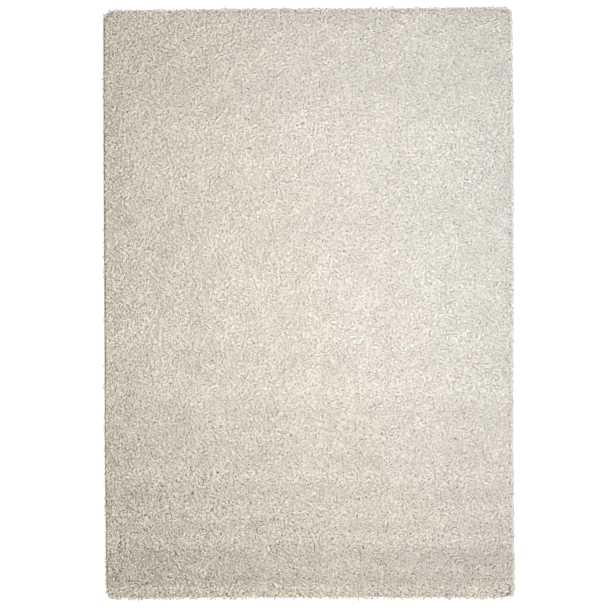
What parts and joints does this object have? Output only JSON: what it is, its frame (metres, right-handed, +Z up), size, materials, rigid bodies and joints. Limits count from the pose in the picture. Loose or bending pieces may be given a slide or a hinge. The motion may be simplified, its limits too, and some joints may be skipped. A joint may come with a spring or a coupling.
{
  "type": "shag rug",
  "caption": "Plain cream rectangular shag rug with long cut pile, lying flat, its edge overlocked all round in dark taupe and locks of pile hanging over it.",
  "frame": {"origin": "on the floor, under the middle of the rug", "axes": "+Z up, +Y along the rug's length towards its head (the top of the picture), +X across it to the right"},
  "size_m": [1.6196, 2.3265, 0.0425],
  "materials": {
    "pile": "matte twisted cut-pile yarn, cream",
    "edge_yarn": "matte wrapped yarn, dark taupe",
    "backing": "coarse plain-woven ground cloth, dulled by its latex coat"
  },
  "bodies": {
    "root": {"shag_pile": "pile", "overlock_left": "edge_yarn", "overlock_right": "edge_yarn", "overlock_head": "edge_yarn", "overlock_foot": "edge_yarn"}
  },
  "joints": []
}
